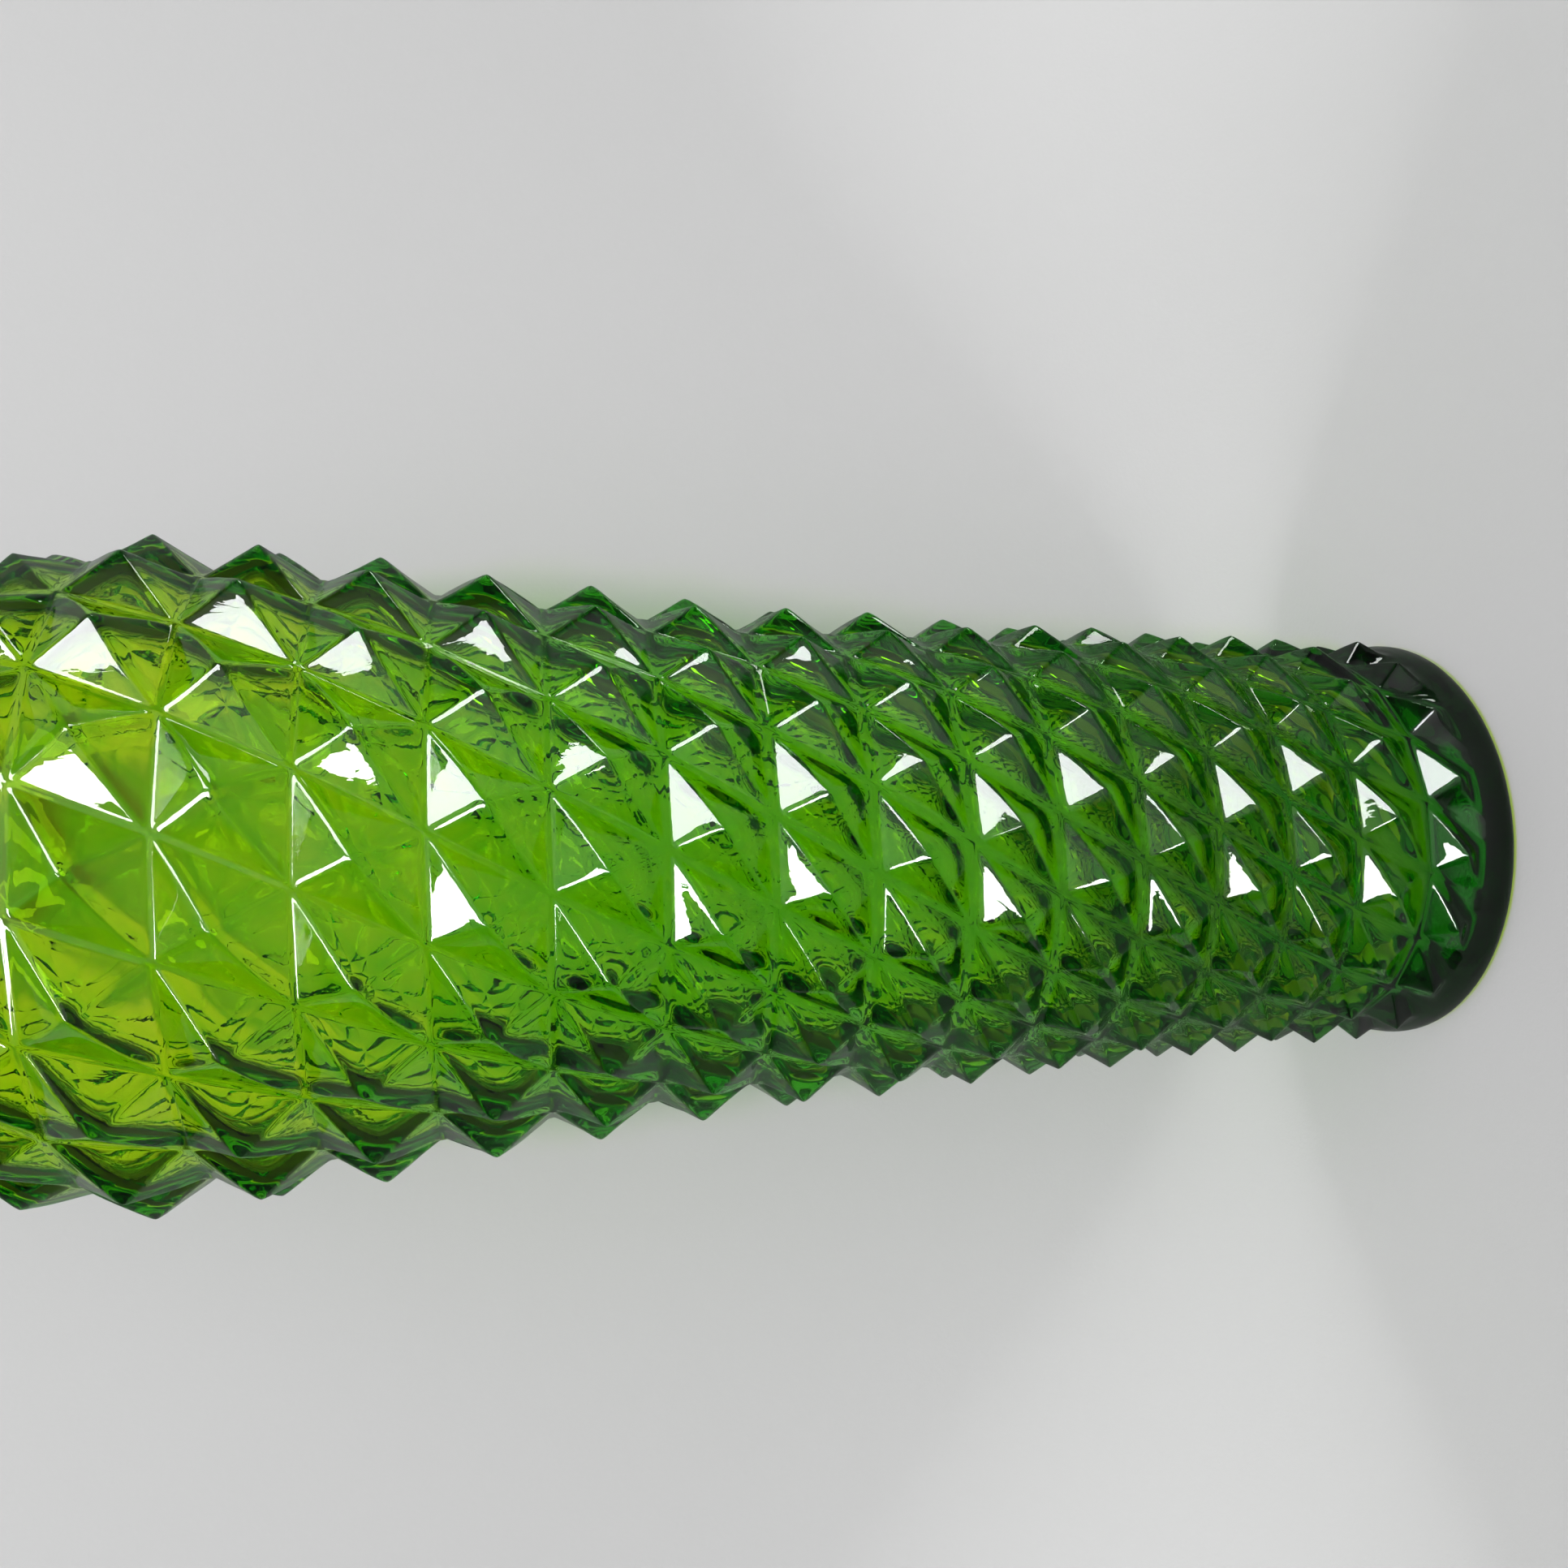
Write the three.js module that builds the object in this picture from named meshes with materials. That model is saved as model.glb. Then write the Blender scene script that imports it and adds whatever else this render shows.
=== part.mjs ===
// Large glass bottle with a pressed diamond-point wall, its hollow glass stopper
// and the soft sleeve that seats the stopper in the neck.
//
// Millimetres, +Z up. The origin is the centre of the flat ring that the bottle
// stands on, and +Z is the axis of the bottle.
//
// The side wall of the bottle is covered with rings of four-sided glass points.
// Each point stands on a slanted cell: two of its base lines lie on neighbouring
// rings round the bottle, and the other two run from ring to ring, leaning over by
// about half a cell, so that the rows climb the bottle in long spirals.
//
// The bottle is one piece of glass. It is laid out as three sections that meet at
// two of the valley rings: the body with the base, the shoulder and the neck.

import * as THREE from 'three';

// ---------------------------------------------------------------- bottle sizes
const POINTS_ROUND = 18;       // glass points in one ring of the bottle
const BOTTLE_SIDES = 36;       // sides of the smooth round stretches
const BASE_FLAT_INNER = 27.5;  // radius where the standing ring meets the push-up
const BASE_FLAT_OUTER = 38.5;  // radius where the standing ring meets the heel
const PUSH_UP_HEIGHT = 3.2;    // height of the hollow under the base
const SHOULDER_RING = 16;      // valley ring where the shoulder section starts

// Valley rings: [height, radius, turn in degrees] from the heel to the neck.
const VALLEYS = [
  [7.2, 42.3, 109.9],
  [18.8, 39.8, 119.9],
  [34.4, 40.4, 130.2],
  [49.4, 41.3, 141.6],
  [64.9, 42.4, 154.3],
  [80.9, 43.4, 166.1],
  [97.4, 44.0, 178.2],
  [114.6, 44.8, 191.5],
  [132.9, 45.6, 205.3],
  [151.6, 46.8, 218.6],
  [170.9, 48.7, 231.8],
  [190.9, 51.0, 243.9],
  [211.2, 53.7, 255.8],
  [231.9, 56.0, 266.8],
  [252.3, 57.9, 276.1],
  [272.6, 59.3, 284.0],
  [292.2, 54.6, 292.4],
  [309.8, 46.6, 301.2],
  [325.2, 37.8, 310.1],
  [338.8, 30.0, 319.1],
  [351.0, 24.2, 328.1],
  [362.4, 20.6, 337.1],
];

// Tips of the points in each row between two valley rings: [height, radius].
const TIPS = [
  [13.4, 45.4],
  [28.6, 45.8],
  [43.4, 46.6],
  [58.6, 47.3],
  [74.2, 48.1],
  [89.6, 49.0],
  [106.4, 49.9],
  [124.4, 51.1],
  [142.7, 52.4],
  [161.7, 53.9],
  [181.2, 56.1],
  [201.2, 58.7],
  [221.8, 61.3],
  [242.4, 63.6],
  [263.0, 65.0],
  [283.4, 61.9],
  [301.8, 55.0],
  [318.2, 46.2],
  [332.6, 37.3],
  [345.3, 29.8],
  [357.0, 24.6],
];

// Smooth heel from the standing ring to the first valley ring: [height, radius].
const HEEL = [
  [0.0, BASE_FLAT_OUTER],
  [0.9, 41.4],
  [2.6, 43.3],
  [4.8, 43.7],
];

// Smooth neck, flared lip and the tapered seat inside the mouth: [height, radius].
const NECK_OUTSIDE = [
  [366.4, 19.2],
  [374.0, 18.0],
  [384.0, 17.6],
  [392.0, 18.6],
  [398.5, 20.9],
  [402.6, 23.6],
  [405.2, 24.6],
  [407.4, 23.8],
  [408.6, 21.4],
  [408.6, 18.2],
  [407.2, 15.8],
];
const MOUTH_RADIUS = 15.0;     // seat radius at the top, height 403
const SEAT_TOP = 403.0;
const SEAT_RADIUS_LOW = 13.8;  // seat radius at its lower end
const SEAT_LOW = 372.0;

// Inside of the bottle from the seat down to the floor: [height, radius].
const INSIDE = [
  [SEAT_TOP, MOUTH_RADIUS],
  [SEAT_LOW, SEAT_RADIUS_LOW],
  [362.4, 16.8],
  [351.0, 20.6],
  [338.8, 26.4],
  [325.2, 34.2],
  [309.8, 42.8],
  [292.2, 50.6],
  [276.0, 54.6],
  [262.0, 55.0],
  [246.0, 53.8],
  [226.0, 51.9],
  [204.0, 49.2],
  [180.0, 46.3],
  [152.0, 43.4],
  [118.0, 41.6],
  [84.0, 40.2],
  [54.0, 38.3],
  [34.0, 36.6],
  [24.0, 34.0],
  [17.6, 28.0],
  [14.6, 19.0],
];
const FLOOR_HEIGHT = 13.6;     // top of the thick glass floor on the axis

// ---------------------------------------------------------------- stopper sizes
const STOPPER_POINTS_ROUND = 12;
const STOPPER_SIDES = 24;
const SHANK_SIDES = 48;
const SHANK_BOTTOM = 371.0;
const SHANK_RADIUS_LOW = 11.1;
const SHANK_RADIUS_HIGH = 11.9;
const SHANK_BORE = 7.4;        // open end of the hollow shank

// Valley rings of the head: [height, radius, turn in degrees].
const HEAD_VALLEYS = [
  [424.0, 15.4, 0],
  [434.0, 21.8, 15],
  [447.0, 25.8, 30],
  [461.0, 26.6, 45],
  [475.0, 24.8, 60],
  [488.4, 21.6, 75],
  [500.8, 17.8, 90],
  [512.2, 14.2, 105],
  [523.0, 11.0, 120],
  [533.2, 8.4, 135],
];
const HEAD_TIPS = [
  [429.6, 22.2],
  [440.8, 27.6],
  [454.0, 30.4],
  [468.0, 30.0],
  [481.8, 27.0],
  [494.8, 22.9],
  [506.6, 18.6],
  [517.7, 14.6],
  [528.2, 11.3],
];
// Collar that rests over the lip, and the waist above it: [height, radius].
const COLLAR = [
  [409.2, 14.6],
  [409.2, 19.0],
  [410.4, 20.4],
  [412.2, 20.4],
  [413.8, 18.6],
  [416.0, 14.4],
  [419.4, 13.2],
];
// Smooth drawn-out finial: [height, radius], ending on the axis.
const FINIAL = [
  [541.0, 6.6],
  [552.0, 4.7],
  [564.0, 3.4],
  [574.0, 2.9],
  [579.0, 2.5],
  [581.4, 1.5],
];
const FINIAL_TOP = 582.0;
// Hollow inside the stopper, from its closed end down to the open shank.
const HEAD_HOLLOW_TOP = 528.0;
const HEAD_HOLLOW = [
  [524.0, 4.4],
  [512.2, 9.0],
  [500.8, 12.8],
  [488.4, 16.8],
  [475.0, 20.2],
  [461.0, 22.2],
  [447.0, 21.2],
  [434.0, 17.4],
  [424.0, 11.6],
  [416.0, 8.8],
  [408.0, 7.8],
];

// ---------------------------------------------------------------- sleeve sizes
const SLEEVE_BORE_CLEARANCE = 0.3;
const SLEEVE_BOTTOM = 375.0;
const SLEEVE_TOP = 406.4;
const SLEEVE_RIBS = 4;
const SLEEVE_WALL = 0.9;       // wall between the ribs
const SLEEVE_SEAT_GAP = 0.3;   // gap from the ribs to the seat in the neck
const SLEEVE_SIDES = 48;

// ------------------------------------------------------------------- materials
const glass = () => new THREE.MeshStandardMaterial({
  color: 0x4c9a1c, roughness: 0.06, metalness: 0.0, transparent: true, opacity: 0.55,
});
const softSleeve = new THREE.MeshStandardMaterial({
  color: 0xd9d8cf, roughness: 0.6, metalness: 0.0,
});

// ---------------------------------------------------------------- shape helper
// A closed skin is laid ring by ring. The profile starts on the axis under the
// piece, runs out and up over the outside, back in over the top and down the
// inside, so that every face points out of the material.
class Skin {
  constructor() {
    this.points = [];
    this.faces = [];
  }

  point(x, y, z) {
    this.points.push(x, y, z);
    return this.points.length / 3 - 1;
  }

  pole(z) {
    return [this.point(0, 0, z)];
  }

  ring(count, radius, z, turn = 0) {
    const out = [];
    for (let i = 0; i < count; i += 1) {
      const a = THREE.MathUtils.degToRad(turn + (360 * i) / count);
      out.push(this.point(radius * Math.cos(a), radius * Math.sin(a), z));
    }
    return out;
  }

  face(a, b, c) {
    this.faces.push(a, b, c);
  }

  // Joins two rings, where either may be a pole, or have twice the other's points.
  join(a, b) {
    if (a.length === b.length) {
      const n = a.length;
      for (let i = 0; i < n; i += 1) {
        const k = (i + 1) % n;
        this.face(a[i], a[k], b[k]);
        this.face(a[i], b[k], b[i]);
      }
    } else if (a.length === 1) {
      for (let i = 0; i < b.length; i += 1) this.face(a[0], b[(i + 1) % b.length], b[i]);
    } else if (b.length === 1) {
      for (let i = 0; i < a.length; i += 1) this.face(a[i], a[(i + 1) % a.length], b[0]);
    } else if (b.length === 2 * a.length) {
      const n = a.length;
      for (let i = 0; i < n; i += 1) {
        const k = (i + 1) % n;
        const m = (2 * i + 2) % b.length;
        this.face(a[i], b[2 * i + 1], b[2 * i]);
        this.face(a[i], a[k], b[2 * i + 1]);
        this.face(a[k], b[m], b[2 * i + 1]);
      }
    } else {
      const n = b.length;
      for (let i = 0; i < n; i += 1) {
        const k = (i + 1) % n;
        const m = (2 * i + 2) % a.length;
        this.face(a[2 * i], a[2 * i + 1], b[i]);
        this.face(a[2 * i + 1], b[k], b[i]);
        this.face(a[2 * i + 1], a[m], b[k]);
      }
    }
  }

  // One row of four-sided points between two valley rings.
  row(low, high, tips) {
    const n = low.length;
    for (let i = 0; i < n; i += 1) {
      const k = (i + 1) % n;
      const t = tips[i];
      this.face(low[i], low[k], t);
      this.face(low[k], high[k], t);
      this.face(high[k], high[i], t);
      this.face(high[i], low[i], t);
    }
  }

  rings(sides, profile, turn = 0) {
    return profile.map(([z, r]) => this.ring(sides, r, z, turn));
  }

  chain(list) {
    for (let i = 0; i + 1 < list.length; i += 1) this.join(list[i], list[i + 1]);
  }

  // Rows of points through a whole table of valley rings.
  lattice(count, valleys, tips) {
    const rings = valleys.map(([z, r, turn]) => this.ring(count, r, z, turn));
    for (let i = 0; i < tips.length; i += 1) {
      const turn = (valleys[i][2] + valleys[i + 1][2]) / 2 + 180 / count;
      const row = this.ring(count, tips[i][1], tips[i][0], turn);
      this.row(rings[i], rings[i + 1], row);
    }
    return rings;
  }

  geometry() {
    const g = new THREE.BufferGeometry();
    g.setAttribute('position', new THREE.Float32BufferAttribute(this.points, 3));
    g.setIndex(this.faces);
    g.computeVertexNormals();
    return g;
  }
}

// ---------------------------------------------------------------------- bottle
const SHOULDER_LOW = VALLEYS[SHOULDER_RING][0];
const SHOULDER_HIGH = VALLEYS[VALLEYS.length - 1][0];

// Thick base with a shallow push-up, a smooth heel, sixteen rows of points up to
// past the widest place, and a smooth inner wall and floor.
function bodyGeometry() {
  const s = new Skin();
  const heelTurn = VALLEYS[0][2];
  const base = [
    s.pole(PUSH_UP_HEIGHT),
    s.ring(BOTTLE_SIDES, 18.0, PUSH_UP_HEIGHT * 0.72, heelTurn),
    s.ring(BOTTLE_SIDES, BASE_FLAT_INNER, 0, heelTurn),
    ...s.rings(BOTTLE_SIDES, HEEL, heelTurn),
  ];
  const wall = s.lattice(POINTS_ROUND, VALLEYS.slice(0, SHOULDER_RING + 1), TIPS.slice(0, SHOULDER_RING));
  const profile = INSIDE.filter(([z]) => z <= SHOULDER_LOW);
  const inside = s.rings(BOTTLE_SIDES, profile, VALLEYS[SHOULDER_RING][2]);
  s.chain([...base, wall[0]]);
  s.chain([wall[SHOULDER_RING], ...inside, s.pole(FLOOR_HEIGHT)]);
  return s.geometry();
}

// Five rows of points that draw in to the neck, over a smooth inner wall. The
// inner rings turn a little on the way up, so that each end meets its valley ring.
function shoulderGeometry() {
  const s = new Skin();
  const turnLow = VALLEYS[SHOULDER_RING][2];
  const turnHigh = VALLEYS[VALLEYS.length - 1][2];
  const pitch = 360 / POINTS_ROUND;
  const steps = Math.floor((turnHigh - turnLow) / pitch);
  const lean = turnHigh - turnLow - steps * pitch;
  const wall = s.lattice(POINTS_ROUND, VALLEYS.slice(SHOULDER_RING), TIPS.slice(SHOULDER_RING));
  const inside = INSIDE.filter(([z]) => z >= SHOULDER_LOW && z <= SHOULDER_HIGH).map(([z, r]) => {
    const t = (z - SHOULDER_LOW) / (SHOULDER_HIGH - SHOULDER_LOW);
    return s.ring(BOTTLE_SIDES, r, z, turnLow + lean * t);
  });
  const top = wall[wall.length - 1];
  const turned = [...top.slice(POINTS_ROUND - steps), ...top.slice(0, POINTS_ROUND - steps)];
  s.chain([turned, ...inside, wall[0]]);
  return s.geometry();
}

// Smooth neck with a flared lip and the tapered seat for the stopper.
function neckGeometry() {
  const s = new Skin();
  const [height, radius, turn] = VALLEYS[VALLEYS.length - 1];
  const foot = s.ring(POINTS_ROUND, radius, height, turn);
  const outside = s.rings(BOTTLE_SIDES, NECK_OUTSIDE, turn);
  const inside = s.rings(BOTTLE_SIDES, INSIDE.filter(([z]) => z >= SHOULDER_HIGH), turn);
  s.chain([foot, ...outside, ...inside, foot]);
  return s.geometry();
}

// --------------------------------------------------------------------- stopper
// Hollow shank open at its lower end, a collar, a pointed head with nine rows of
// points and a smooth drawn finial.
function stopperGeometry() {
  const s = new Skin();
  const shankTop = COLLAR[0][0];
  const bore = s.ring(SHANK_SIDES, SHANK_BORE, SHANK_BOTTOM + 1.0);
  const rim = [
    bore,
    s.ring(SHANK_SIDES, SHANK_BORE + 0.8, SHANK_BOTTOM),
    s.ring(SHANK_SIDES, SHANK_RADIUS_LOW - 0.8, SHANK_BOTTOM),
    s.ring(SHANK_SIDES, SHANK_RADIUS_LOW, SHANK_BOTTOM + 0.9),
    s.ring(SHANK_SIDES, SHANK_RADIUS_HIGH, shankTop - 1.2),
    s.ring(SHANK_SIDES, SHANK_RADIUS_HIGH + 0.5, shankTop - 0.2),
    ...s.rings(SHANK_SIDES, COLLAR.slice(0, 5)),
  ];
  const waist = s.rings(STOPPER_SIDES, COLLAR.slice(5));
  const head = s.lattice(STOPPER_POINTS_ROUND, HEAD_VALLEYS, HEAD_TIPS);
  s.chain([...rim, ...waist, head[0]]);
  const finial = s.rings(STOPPER_POINTS_ROUND, FINIAL, HEAD_VALLEYS[HEAD_VALLEYS.length - 1][2]);
  s.chain([head[head.length - 1], ...finial, s.pole(FINIAL_TOP)]);
  const hollow = s.rings(STOPPER_SIDES, HEAD_HOLLOW);
  s.chain([s.pole(HEAD_HOLLOW_TOP), ...hollow, bore]);
  return s.geometry();
}

// ---------------------------------------------------------------------- sleeve
// Soft ribbed sleeve on the shank. Its ribs press on the seat in the neck.
function sleeveGeometry() {
  const s = new Skin();
  const shank = (z) => SHANK_RADIUS_LOW
    + ((SHANK_RADIUS_HIGH - SHANK_RADIUS_LOW) * (z - SHANK_BOTTOM)) / (COLLAR[0][0] - 1.2 - SHANK_BOTTOM)
    + SLEEVE_BORE_CLEARANCE;
  const seat = (z) => SEAT_RADIUS_LOW
    + ((MOUTH_RADIUS - SEAT_RADIUS_LOW) * (z - SEAT_LOW)) / (SEAT_TOP - SEAT_LOW)
    - SLEEVE_SEAT_GAP;
  const outer = [[SLEEVE_BOTTOM, shank(SLEEVE_BOTTOM) + SLEEVE_WALL]];
  const span = (SEAT_TOP - 2.0 - (SLEEVE_BOTTOM + 3.0)) / SLEEVE_RIBS;
  for (let i = 0; i < SLEEVE_RIBS; i += 1) {
    const z = SLEEVE_BOTTOM + 3.0 + span * (i + 0.5);
    outer.push([z - 2.0, shank(z - 2.0) + SLEEVE_WALL]);
    outer.push([z - 0.5, seat(z - 0.5)]);
    outer.push([z + 0.5, seat(z - 0.5)]);
    outer.push([z + 2.0, shank(z + 2.0) + SLEEVE_WALL]);
  }
  outer.push([SLEEVE_TOP, shank(SLEEVE_TOP) + SLEEVE_WALL]);
  const inner = [[SLEEVE_TOP, shank(SLEEVE_TOP)], [SLEEVE_BOTTOM, shank(SLEEVE_BOTTOM)]];
  const list = s.rings(SLEEVE_SIDES, [...outer, ...inner]);
  s.chain([...list, list[0]]);
  return s.geometry();
}

function piece(name, geometry, material) {
  const mesh = new THREE.Mesh(geometry, material);
  mesh.name = name;
  return mesh;
}

const bottle = new THREE.Group();
bottle.name = 'glass_bottle';
bottle.add(piece('bottle_body', bodyGeometry(), glass()));
bottle.add(piece('bottle_shoulder', shoulderGeometry(), glass()));
bottle.add(piece('bottle_neck', neckGeometry(), glass()));
bottle.add(piece('stopper_sleeve', sleeveGeometry(), softSleeve));
bottle.add(piece('stopper', stopperGeometry(), glass()));

export default bottle;
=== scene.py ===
import math

import bpy
import numpy as np
from mathutils import Matrix, Quaternion, Vector


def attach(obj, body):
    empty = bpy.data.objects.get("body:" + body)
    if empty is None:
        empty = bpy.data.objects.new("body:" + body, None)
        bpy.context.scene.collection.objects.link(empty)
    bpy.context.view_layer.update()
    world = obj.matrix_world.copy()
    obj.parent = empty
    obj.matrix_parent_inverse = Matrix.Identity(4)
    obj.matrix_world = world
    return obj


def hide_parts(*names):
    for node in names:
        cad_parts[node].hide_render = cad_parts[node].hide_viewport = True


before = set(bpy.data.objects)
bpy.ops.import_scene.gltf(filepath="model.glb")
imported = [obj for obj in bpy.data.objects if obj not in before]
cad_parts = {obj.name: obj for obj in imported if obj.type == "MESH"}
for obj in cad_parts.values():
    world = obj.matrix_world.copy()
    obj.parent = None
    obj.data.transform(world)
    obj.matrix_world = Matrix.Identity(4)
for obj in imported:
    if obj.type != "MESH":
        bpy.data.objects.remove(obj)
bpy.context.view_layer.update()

scene = bpy.context.scene
rng = np.random.default_rng(41)

# ---------------------------------------------------------------- camera
# Looks at the side of the bottle with the base to the right. The frame is square.
cam_data = bpy.data.cameras.new("camera")
cam_data.sensor_width = 36.0
cam_data.lens = 36.0 * 1694.1 / 1932.0
cam_data.clip_start = 0.01
cam_data.clip_end = 50.0
cam = bpy.data.objects.new("camera", cam_data)
scene.collection.objects.link(cam)
right = Vector((-0.02823, -0.18432, -0.98246)).normalized()
back = Vector((-0.05124, -0.98129, 0.18558))
back = (back - right * back.dot(right)).normalized()
up = back.cross(right)
cam.matrix_world = Matrix((
    (right.x, up.x, back.x, 0.0),
    (right.y, up.y, back.y, -0.28497),
    (right.z, up.z, back.z, 0.195),
    (0, 0, 0, 1)))
scene.camera = cam

# ---------------------------------------------------------------- render look
cy = scene.cycles
cy.use_denoising = True
cy.denoiser = "OPENIMAGEDENOISE"
cy.denoising_input_passes = "RGB_ALBEDO_NORMAL"
cy.max_bounces = 24
cy.transmission_bounces = 24
cy.glossy_bounces = 12
cy.diffuse_bounces = 4
cy.transparent_max_bounces = 16
cy.sample_clamp_indirect = 12.0
cy.caustics_reflective = False
cy.caustics_refractive = False
cy.use_adaptive_sampling = True
cy.adaptive_threshold = 0.012
scene.view_settings.view_transform = "Standard"
scene.view_settings.look = "None"
scene.view_settings.exposure = 0.0
scene.view_settings.gamma = 1.0

# ---------------------------------------------------------------- tables, millimetres
POINTS = 18
# height, radius, turn in degrees of each valley ring, from the heel up
VALLEYS = [
    (5.4, 39.7, 109.9), (18.8, 39.8, 119.9), (34.4, 40.4, 130.2), (49.4, 41.3, 141.6),
    (64.9, 42.4, 154.3), (80.9, 43.4, 166.1), (97.4, 44.0, 178.2), (114.6, 44.8, 191.5),
    (132.9, 45.6, 205.3), (151.6, 46.8, 218.6), (170.9, 48.7, 231.8), (190.9, 51.0, 243.9),
    (211.2, 53.7, 255.8), (231.9, 56.0, 266.8), (252.3, 57.9, 276.1), (272.6, 59.3, 284.0),
    (292.2, 54.6, 292.4), (309.8, 46.6, 301.2), (325.2, 37.8, 310.1), (338.8, 30.0, 319.1),
    (351.0, 24.2, 328.1), (362.4, 20.6, 337.1),
]
# height and radius of the glass points in each row
TIPS = [
    (13.4, 45.4), (28.6, 45.8), (43.4, 46.6), (58.6, 47.3), (74.2, 48.1), (89.6, 49.0),
    (106.4, 49.9), (124.4, 51.1), (142.7, 52.4), (161.7, 53.9), (181.2, 56.1), (201.2, 58.7),
    (221.8, 61.3), (242.4, 63.6), (263.0, 65.0), (283.4, 61.9), (301.8, 55.0), (318.2, 46.2),
    (332.6, 37.3), (345.3, 29.8), (357.0, 24.6),
]
HEEL_EDGE = [(16.0, 37.6), (14.0, 39.6), (12.0, 41.2), (10.0, 42.4), (8.0, 43.2), (6.0, 43.6), (4.8, 43.7), (3.4, 43.55),
             (2.2, 43.0), (1.2, 42.0), (0.5, 40.7), (0.12, 39.4), (0.0, 38.4)]
BASE_UNDER = [(0.0, 33.0), (0.0, 28.6), (0.25, 27.0), (0.9, 24.6), (1.7, 20.5), (2.4, 15.0), (2.85, 8.0), (3.1, 3.0)]
NECK_OUT = [(364.2, 19.75), (366.4, 19.15), (370.0, 18.45), (374.0, 18.0), (379.0, 17.7), (384.0, 17.62), (388.0, 17.95),
            (392.0, 18.6), (395.4, 19.55), (398.5, 20.85), (400.8, 22.15), (402.6, 23.3), (404.0, 24.1), (405.2, 24.5),
            (406.3, 24.45), (407.3, 23.9), (408.1, 22.9), (408.55, 21.6), (408.6, 20.2), (408.5, 18.6), (408.0, 17.2),
            (407.2, 16.2), (406.0, 15.55), (404.6, 15.15), (403.0, 15.0)]
INSIDE = [(403.0, 15.0), (392.0, 14.57), (382.0, 14.19), (372.0, 13.8), (367.0, 14.6), (362.4, 16.5), (357.0, 18.6), (351.0, 21.1),
          (345.0, 23.9), (338.8, 27.3), (332.0, 31.1), (325.2, 35.2), (317.5, 39.9), (309.8, 44.1), (301.0, 48.6), (292.2, 52.2),
          (284.0, 54.9), (276.0, 56.6), (268.0, 57.2), (260.0, 56.8), (246.0, 55.6), (226.0, 53.3), (204.0, 49.8), (180.0, 45.8),
          (152.0, 42.7), (118.0, 40.8), (84.0, 39.3), (54.0, 38.0), (34.0, 37.2), (26.0, 37.0), (20.0, 36.6), (16.0, 35.7),
          (13.2, 34.2), (11.2, 31.8), (9.9, 28.6), (9.1, 24.6), (8.6, 19.0), (8.3, 12.0), (8.15, 5.0)]
FLOOR_TOP = 8.1

HEAD_POINTS = 12
HEAD_VALLEYS = [
    (424.0, 15.4, 0), (434.0, 21.8, 15), (447.0, 25.8, 30), (461.0, 26.6, 45), (475.0, 24.8, 60),
    (488.4, 21.6, 75), (500.8, 17.8, 90), (512.2, 14.2, 105), (523.0, 11.0, 120), (533.2, 8.4, 135),
]
HEAD_TIPS = [
    (429.6, 22.2), (440.8, 27.6), (454.0, 30.4), (468.0, 30.0), (481.8, 27.0), (494.8, 22.9),
    (506.6, 18.6), (517.7, 14.6), (528.2, 11.3),
]


# ---------------------------------------------------------------- mesh helpers
class Soup:
    """Vertices and faces that are welded by place at the end."""

    def __init__(self):
        self.v, self.f, self.n, self.tag = [], [], 0, []

    def add(self, verts, faces, tag=0):
        self.v.append(np.asarray(verts, float))
        self.tag.append(np.full(len(verts), tag))
        self.f.extend([[i + self.n for i in q] for q in faces])
        self.n += len(verts)

    def rings(self, rings, tag=0):
        """Quads between rings of equal length, given in the order out, up and back in."""
        m = len(rings[0])
        verts = np.concatenate(rings)
        faces = []
        for i in range(len(rings) - 1):
            for j in range(m):
                k = (j + 1) % m
                faces.append([i * m + j, i * m + k, (i + 1) * m + k, (i + 1) * m + j])
        self.add(verts, faces, tag)

    def cap(self, ring, pole, last, tag=0):
        """Closes a ring on a pole. last says that the pole comes after the ring."""
        m = len(ring)
        verts = np.vstack([ring, [pole]])
        if last:
            faces = [[j, (j + 1) % m, m] for j in range(m)]
        else:
            faces = [[m, (j + 1) % m, j] for j in range(m)]
        self.add(verts, faces, tag)

    def make(self, name, move=None):
        v = np.concatenate(self.v)
        key = np.round(v / 1e-4).astype(np.int64)
        _, first, inverse = np.unique(key, axis=0, return_index=True, return_inverse=True)
        inverse = inverse.ravel()
        order = np.argsort(first)
        rank = np.empty_like(order)
        rank[order] = np.arange(len(order))
        v = v[first[order]]
        tag = np.concatenate(self.tag)[first[order]]
        faces = []
        for q in self.f:
            w = [int(rank[inverse[i]]) for i in q]
            c = [w[i] for i in range(len(w)) if w[i] != w[i - 1]]
            if len(c) > 2:
                faces.append(c)
        if move is not None:
            v = move(v, tag)
        mesh = bpy.data.meshes.new(name)
        mesh.from_pydata((v * 0.001).tolist(), [], faces)
        mesh.validate()
        mesh.update()
        mesh.shade_smooth()
        ob = bpy.data.objects.new(name, mesh)
        scene.collection.objects.link(ob)
        return ob


def smax(a, b, k):
    h = np.maximum(k - np.abs(a - b), 0.0) / k
    return np.maximum(a, b) + h * h * k * 0.25


def waves(count, shortest, longest, seed):
    """A smooth seeded wobble in space, about -1 to 1, with wavelengths in millimetres."""
    g = np.random.default_rng(seed)
    d = g.normal(size=(count, 3))
    d /= np.linalg.norm(d, axis=1)[:, None]
    lam = np.exp(g.uniform(math.log(shortest), math.log(longest), count))
    k = d * (2 * math.pi / lam)[:, None]
    ph = g.uniform(0, 2 * math.pi, count)
    amp = g.uniform(0.5, 1.0, count)
    amp /= math.sqrt(float((amp ** 2).sum()) / 2) * 1.6

    def field(p):
        out = np.zeros(len(p))
        for i in range(count):
            out += amp[i] * np.sin(p @ k[i] + ph[i])
        return out
    return field


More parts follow.
